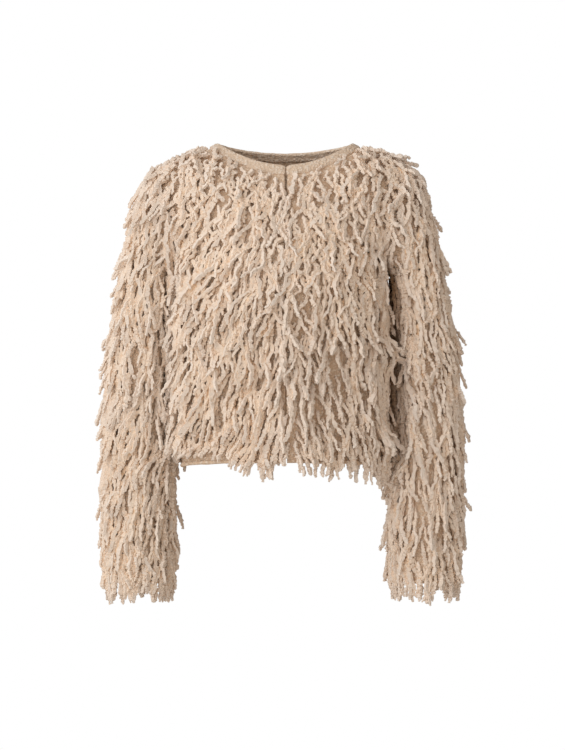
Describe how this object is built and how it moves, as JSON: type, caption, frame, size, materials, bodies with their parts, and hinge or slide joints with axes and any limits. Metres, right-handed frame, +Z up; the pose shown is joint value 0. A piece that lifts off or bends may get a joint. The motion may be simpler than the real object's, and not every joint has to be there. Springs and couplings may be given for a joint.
{
  "type": "fringed cardigan",
  "caption": "Cropped collarless cardigan of boucle knit with long sleeves, covered all over in layers of hanging yarn fringe.",
  "frame": {"origin": "on the garment's middle line in the neck opening, at the height where the neckband crosses the shoulders", "axes": "+Z up, +X to the wearer's left, +Y to the wearer's back"},
  "size_m": [0.5526, 0.2638, 0.6854],
  "materials": {
    "ground_knit": "matte knit",
    "neckband_knit": "matte knit",
    "boucle_fringe": "matte boucle yarn"
  },
  "bodies": {
    "root": {"front_right": "ground_knit", "front_left": "ground_knit", "back": "ground_knit", "sleeve_right": "ground_knit", "sleeve_left": "ground_knit", "neckband": "neckband_knit", "front_right_fringe": "boucle_fringe", "front_left_fringe": "boucle_fringe", "back_fringe": "boucle_fringe", "sleeve_right_fringe": "boucle_fringe", "sleeve_left_fringe": "boucle_fringe"}
  },
  "joints": []
}
